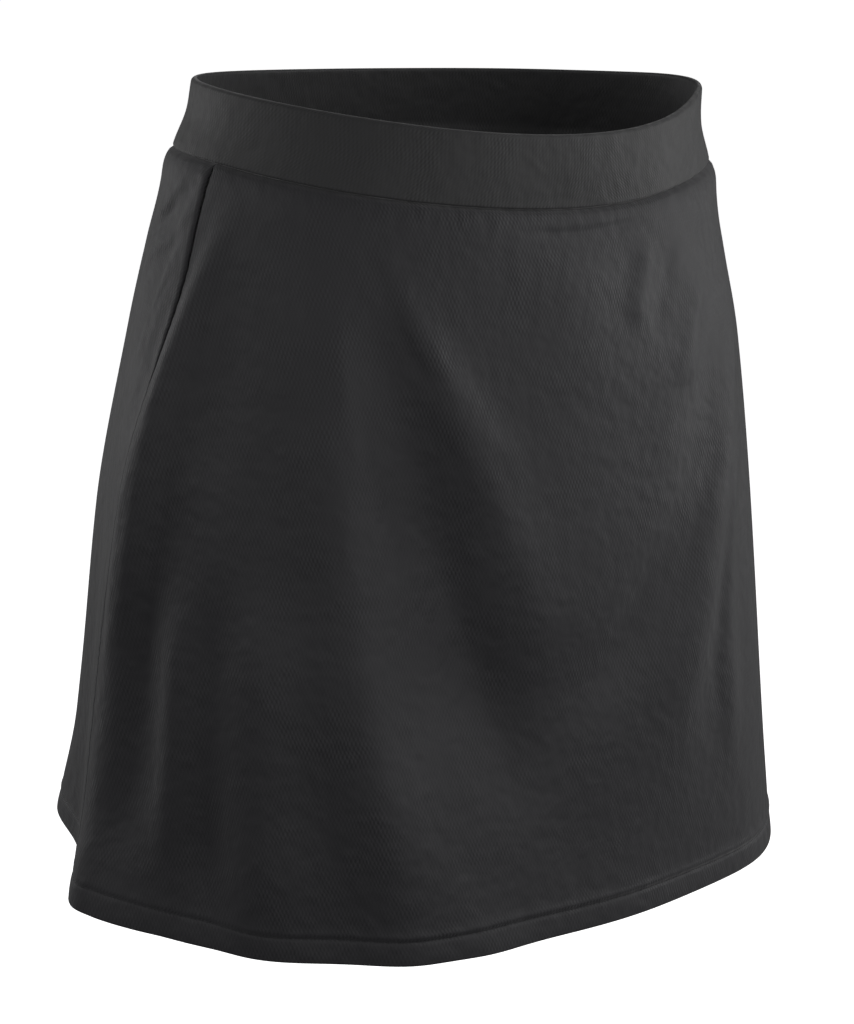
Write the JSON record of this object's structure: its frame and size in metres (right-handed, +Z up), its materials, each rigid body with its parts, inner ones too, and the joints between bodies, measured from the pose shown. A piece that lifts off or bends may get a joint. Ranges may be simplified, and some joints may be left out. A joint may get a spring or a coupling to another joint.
{
  "type": "tennis skort",
  "caption": "Flared tennis skort, filled out as worn: folded waistband, front and back skirt panels with turned-up hems, and plain shorts hanging inside.",
  "frame": {"origin": "middle of the waistband, where the wearer's waist holds the skort", "axes": "+Z up along the body, -Y to the wearer's front, -X to the wearer's right"},
  "size_m": [0.429, 0.3059, 0.3902],
  "materials": {
    "waistband_knit": "charcoal black polyester knit, folded over elastic, smooth, softly matt",
    "skirt_knit": "charcoal black polyester birdseye knit, fine diagonal grain, slight sheen",
    "shorts_jersey": "black stretch jersey, matt"
  },
  "bodies": {
    "root": {"waistband": "waistband_knit", "skirt_front": "skirt_knit", "skirt_back": "skirt_knit", "shorts_right": "shorts_jersey", "shorts_left": "shorts_jersey"}
  },
  "joints": []
}
